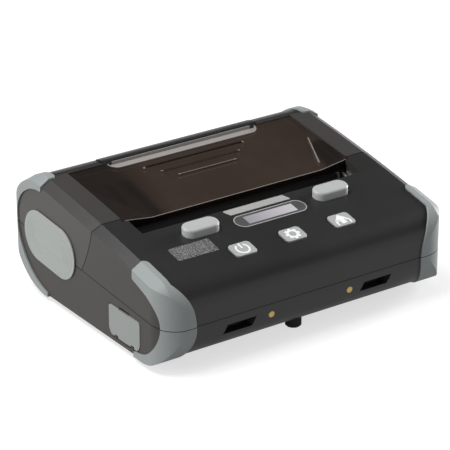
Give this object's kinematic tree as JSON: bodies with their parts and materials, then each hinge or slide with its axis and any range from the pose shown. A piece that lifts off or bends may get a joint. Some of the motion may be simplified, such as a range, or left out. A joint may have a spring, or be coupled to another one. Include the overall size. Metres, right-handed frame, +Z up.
{
  "type": "portable thermal printer",
  "caption": "Portable thermal printer for wide roll paper: wedge case, smoke window in a hinged cover with the platen, push keys, release buttons, display, corner guards.",
  "frame": {"origin": "middle of the bounding box, on the surface that the feet stand on", "axes": "+X to the right across the width, +Y to the back where the cover is hinged, +Z up; the control panel and the charging contacts face -Y"},
  "size_m": [0.1564, 0.1302, 0.0591],
  "materials": {
    "battery_shell": "black case",
    "blade_steel": "ground",
    "bumper_rubber": "matte grey rubber",
    "bush_plastic": "acetal",
    "button_plastic": "satin light grey",
    "carrier_plastic": "black moulding",
    "case_plastic": "semi-matte charcoal moulding",
    "ceramic": "glazed ceramic",
    "circuit_board": "green solder mask",
    "display": "grey liquid crystal panel",
    "flap_rubber": "matte grey rubber",
    "foot_rubber": "matte black rubber",
    "frame_steel": "zinc plated sheet",
    "gear_plastic": "natural acetal",
    "gold_contact": "gold plated",
    "guide_plastic": "dark grey moulding",
    "key_rubber": "satin light grey",
    "label_film": "silver film, bare",
    "latch_steel": "zinc plated",
    "lens": "polished clear acrylic",
    "motor_steel": "plated can",
    "pad_rubber": "matte grey rubber",
    "platen_rubber": "ground black rubber",
    "rod_steel": "ground rod",
    "screw_steel": "black zinc",
    "sensor_plastic": "black moulding",
    "silver_plate": "satin, bare",
    "sink_aluminium": "extruded",
    "smoke_window": "smoke tinted polycarbonate",
    "socket_plastic": "black moulding",
    "socket_steel": "nickel plated shell",
    "spring_steel": "drawn wire",
    "strip_plastic": "black moulding"
  },
  "bodies": {
    "case": {"battery_door": "case_plastic", "battery_pack": "battery_shell", "case_screws": "screw_steel", "charging_contacts": "gold_contact", "display_panel": "display", "display_window": "lens", "front_bumper_lower_left": "bumper_rubber", "front_bumper_lower_right": "bumper_rubber", "front_bumper_upper_left": "bumper_rubber", "front_bumper_upper_right": "bumper_rubber", "front_case": "case_plastic", "guide_rod": "rod_steel", "head_spring_left": "spring_steel", "head_spring_right": "spring_steel", "heat_sink": "sink_aluminium", "hinge_pin": "rod_steel", "lower_case": "case_plastic", "main_board": "circuit_board", "name_plate": "silver_plate", "panel_board": "circuit_board", "paper_sensor": "sensor_plastic", "port_board": "circuit_board", "power_socket": "socket_plastic", "print_frame": "frame_steel", "print_head": "ceramic", "rating_label": "label_film", "rear_bumper_lower_left": "bumper_rubber", "rear_bumper_lower_right": "bumper_rubber", "release_spring_left": "spring_steel", "release_spring_right": "spring_steel", "rubber_feet": "foot_rubber", "side_pad_left": "pad_rubber", "side_pad_right": "pad_rubber", "stepper_motor": "motor_steel", "tear_bar": "blade_steel", "usb_socket": "socket_steel"},
    "cover": {"paper_cover": "case_plastic", "cover_window": "smoke_window", "rear_strip": "strip_plastic", "rear_bumper_upper_left": "bumper_rubber", "rear_bumper_upper_right": "bumper_rubber", "platen_carrier": "carrier_plastic", "platen_bushes": "bush_plastic"},
    "platen": {"platen_roller": "platen_rubber", "platen_shaft": "rod_steel", "platen_gear": "gear_plastic"},
    "idler": {"idler_gear": "gear_plastic"},
    "pinion": {"motor_pinion": "gear_plastic"},
    "power_key_body": {"power_key": "key_rubber"},
    "settings_key_body": {"settings_key": "key_rubber"},
    "feed_key_body": {"feed_key": "key_rubber"},
    "release_left": {"release_button_left": "button_plastic"},
    "release_right": {"release_button_right": "button_plastic"},
    "latch_left_body": {"latch_left": "latch_steel"},
    "latch_right_body": {"latch_right": "latch_steel"},
    "port_flap": {"port_cover": "flap_rubber"},
    "guide_left_body": {"roll_guide_left": "guide_plastic"},
    "guide_right_body": {"roll_guide_right": "guide_plastic"}
  },
  "joints": [
    {"name": "cover_hinge", "type": "hinge", "parent": "case", "child": "cover", "pos_m": [0, 0.0627, 0.03176], "axis": [-1, 0, 0], "range_deg": [0, 95]},
    {"name": "platen_spin", "type": "hinge", "parent": "cover", "child": "platen", "pos_m": [0, -0.0031, 0.042], "axis": [1, 0, 0], "continuous": true},
    {"name": "idler_spin", "type": "hinge", "parent": "case", "child": "idler", "pos_m": [-0.0652, -0.00495, 0.03014], "axis": [1, 0, 0], "continuous": true},
    {"name": "pinion_spin", "type": "hinge", "parent": "case", "child": "pinion", "pos_m": [-0.0652, -0.01406, 0.0233], "axis": [1, 0, 0], "continuous": true},
    {"name": "power_key_press", "type": "slide", "parent": "case", "child": "power_key_body", "axis": [0, 0, -1], "range_m": [0, 0.0006], "stiffness_N_per_m": 1200, "springref_m": -0.0006},
    {"name": "settings_key_press", "type": "slide", "parent": "case", "child": "settings_key_body", "axis": [0, 0, -1], "range_m": [0, 0.0006], "stiffness_N_per_m": 1200, "springref_m": -0.0006},
    {"name": "feed_key_press", "type": "slide", "parent": "case", "child": "feed_key_body", "axis": [0, 0, -1], "range_m": [0, 0.0006], "stiffness_N_per_m": 1200, "springref_m": -0.0006},
    {"name": "release_left_press", "type": "slide", "parent": "case", "child": "release_left", "axis": [0, 0, -1], "range_m": [0, 0.0015], "stiffness_N_per_m": 1200, "springref_m": -0.002, "deforming": ["release_spring_left"]},
    {"name": "latch_left_turn", "type": "hinge", "parent": "case", "child": "latch_left_body", "pos_m": [-0.05935, -0.024, 0.035], "axis": [1, 0, 0], "range_deg": [0, 14.6]},
    {"name": "release_right_press", "type": "slide", "parent": "case", "child": "release_right", "axis": [0, 0, -1], "range_m": [0, 0.0015], "stiffness_N_per_m": 1200, "springref_m": -0.002, "deforming": ["release_spring_right"]},
    {"name": "latch_right_turn", "type": "hinge", "parent": "case", "child": "latch_right_body", "pos_m": [0.05935, -0.024, 0.035], "axis": [1, 0, 0], "range_deg": [0, 14.6]},
    {"name": "port_cover_hinge", "type": "hinge", "parent": "case", "child": "port_flap", "pos_m": [-0.0773, -0.03185, 0.0058], "axis": [0, -1, 0], "range_deg": [0, 95]},
    {"name": "roll_guide_left_slide", "type": "slide", "parent": "case", "child": "guide_left_body", "axis": [1, 0, 0], "range_m": [0, 0.016]},
    {"name": "roll_guide_right_slide", "type": "slide", "parent": "case", "child": "guide_right_body", "axis": [-1, 0, 0], "range_m": [0, 0.016]}
  ],
  "couplings": [
    {"joint": "idler_spin", "follows": "platen_spin", "ratio": -0.53846},
    {"joint": "pinion_spin", "follows": "platen_spin", "ratio": 1.1667},
    {"joint": "latch_left_turn", "follows": "release_left_press", "rad_per_m": 169.49},
    {"joint": "latch_right_turn", "follows": "release_right_press", "rad_per_m": 169.49},
    {"joint": "roll_guide_left_slide", "follows": "roll_guide_right_slide", "ratio": 1}
  ]
}
